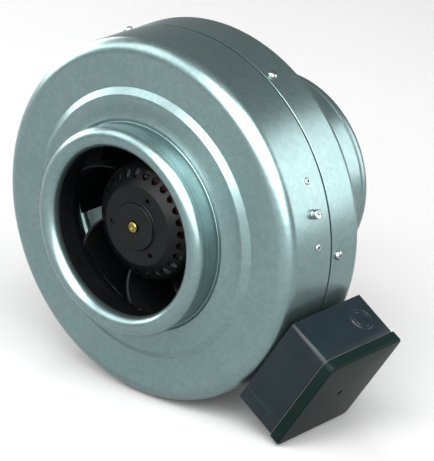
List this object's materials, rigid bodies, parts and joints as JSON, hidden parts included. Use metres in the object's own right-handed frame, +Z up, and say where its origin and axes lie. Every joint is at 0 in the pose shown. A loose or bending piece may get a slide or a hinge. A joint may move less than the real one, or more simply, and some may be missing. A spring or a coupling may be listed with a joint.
{
  "type": "inline duct fan",
  "caption": "Round inline duct fan: pressed sheet casing with inlet and outlet spigots, backward-curved impeller on an external-rotor motor, and a side terminal box.",
  "frame": {"origin": "on the fan's axis, in the plane of the seam between the casing halves", "axes": "+Y along the duct axis the way the air flows, from the inlet to the outlet; +Z up as the fan lies on its drum and on the lower edge of its terminal box; +X to the side the box is on"},
  "size_m": [0.3982, 0.2495, 0.3446],
  "materials": {
    "front_casing": "galvanised sheet, satin",
    "rear_casing": "galvanised sheet, satin",
    "inlet_nozzle": "moulded, fine grain",
    "seam_screw_1": "zinc plated",
    "seam_screw_2": "zinc plated",
    "seam_screw_3": "zinc plated",
    "seam_screw_4": "zinc plated",
    "seam_screw_5": "zinc plated",
    "seam_screw_6": "zinc plated",
    "support_arm_1": "galvanised sheet, satin",
    "support_arm_2": "galvanised sheet, satin",
    "support_arm_3": "galvanised sheet, satin",
    "support_bolt_1": "machined",
    "support_bolt_2": "machined",
    "support_bolt_3": "machined",
    "support_rivet_1": "die cast or drawn",
    "support_rivet_2": "die cast or drawn",
    "support_rivet_3": "die cast or drawn",
    "support_rivet_4": "die cast or drawn",
    "support_rivet_5": "die cast or drawn",
    "support_rivet_6": "die cast or drawn",
    "motor_screw_1": "zinc plated",
    "motor_screw_2": "zinc plated",
    "motor_screw_3": "zinc plated",
    "stator_carrier": "die cast or drawn",
    "stator_core": "stacked laminations",
    "winding_front": "enamelled copper wire",
    "winding_rear": "enamelled copper wire",
    "front_bearing_outer": "machined",
    "rear_bearing_outer": "machined",
    "motor_lead": "cable sheath",
    "cable_grommet": "matt",
    "terminal_box_base": "satin moulded",
    "box_gasket": "matt",
    "terminal_box_lid": "satin moulded",
    "lid_screw": "zinc plated",
    "terminal_block": "moulded",
    "capacitor": "die cast or drawn",
    "box_screw_1": "zinc plated",
    "box_screw_2": "zinc plated",
    "earth_screw": "machined",
    "rotor_shell": "satin paint",
    "rotor_core": "stacked laminations",
    "shaft": "machined",
    "shaft_end_cap": "machined",
    "retaining_ring": "machined",
    "front_bearing_inner": "machined",
    "rear_bearing_inner": "machined",
    "impeller_backplate": "moulded, fine grain",
    "impeller_shroud": "moulded, fine grain",
    "impeller_blade_1": "moulded, fine grain",
    "impeller_blade_2": "moulded, fine grain",
    "impeller_blade_3": "moulded, fine grain",
    "impeller_blade_4": "moulded, fine grain",
    "impeller_blade_5": "moulded, fine grain",
    "impeller_blade_6": "moulded, fine grain",
    "impeller_blade_7": "moulded, fine grain",
    "front_ball_cage": "machined",
    "rear_ball_cage": "machined"
  },
  "bodies": {
    "casing": {"front_casing": "front_casing", "rear_casing": "rear_casing", "inlet_nozzle": "inlet_nozzle", "seam_screw_1": "seam_screw_1", "seam_screw_2": "seam_screw_2", "seam_screw_3": "seam_screw_3", "seam_screw_4": "seam_screw_4", "seam_screw_5": "seam_screw_5", "seam_screw_6": "seam_screw_6", "support_arm_1": "support_arm_1", "support_arm_2": "support_arm_2", "support_arm_3": "support_arm_3", "support_bolt_1": "support_bolt_1", "support_bolt_2": "support_bolt_2", "support_bolt_3": "support_bolt_3", "support_rivet_1": "support_rivet_1", "support_rivet_2": "support_rivet_2", "support_rivet_3": "support_rivet_3", "support_rivet_4": "support_rivet_4", "support_rivet_5": "support_rivet_5", "support_rivet_6": "support_rivet_6", "motor_screw_1": "motor_screw_1", "motor_screw_2": "motor_screw_2", "motor_screw_3": "motor_screw_3", "stator_carrier": "stator_carrier", "stator_core": "stator_core", "winding_front": "winding_front", "winding_rear": "winding_rear", "front_bearing_outer": "front_bearing_outer", "rear_bearing_outer": "rear_bearing_outer", "motor_lead": "motor_lead", "cable_grommet": "cable_grommet", "terminal_box_base": "terminal_box_base", "box_gasket": "box_gasket", "terminal_box_lid": "terminal_box_lid", "lid_screw": "lid_screw", "terminal_block": "terminal_block", "capacitor": "capacitor", "box_screw_1": "box_screw_1", "box_screw_2": "box_screw_2", "earth_screw": "earth_screw"},
    "rotor": {"rotor_shell": "rotor_shell", "rotor_core": "rotor_core", "shaft": "shaft", "shaft_end_cap": "shaft_end_cap", "retaining_ring": "retaining_ring", "front_bearing_inner": "front_bearing_inner", "rear_bearing_inner": "rear_bearing_inner", "impeller_backplate": "impeller_backplate", "impeller_shroud": "impeller_shroud", "impeller_blade_1": "impeller_blade_1", "impeller_blade_2": "impeller_blade_2", "impeller_blade_3": "impeller_blade_3", "impeller_blade_4": "impeller_blade_4", "impeller_blade_5": "impeller_blade_5", "impeller_blade_6": "impeller_blade_6", "impeller_blade_7": "impeller_blade_7"},
    "bearing_cages": {"front_ball_cage": "front_ball_cage", "rear_ball_cage": "rear_ball_cage"}
  },
  "joints": [
    {"name": "impeller_spin", "type": "hinge", "parent": "casing", "child": "rotor", "pos_m": [0, 0, 0], "axis": [0, 1, 0], "continuous": true},
    {"name": "cage_orbit", "type": "hinge", "parent": "casing", "child": "bearing_cages", "pos_m": [0, 0, 0], "axis": [0, 1, 0], "continuous": true}
  ],
  "couplings": [
    {"joint": "cage_orbit", "follows": "impeller_spin", "ratio": 0.4}
  ]
}
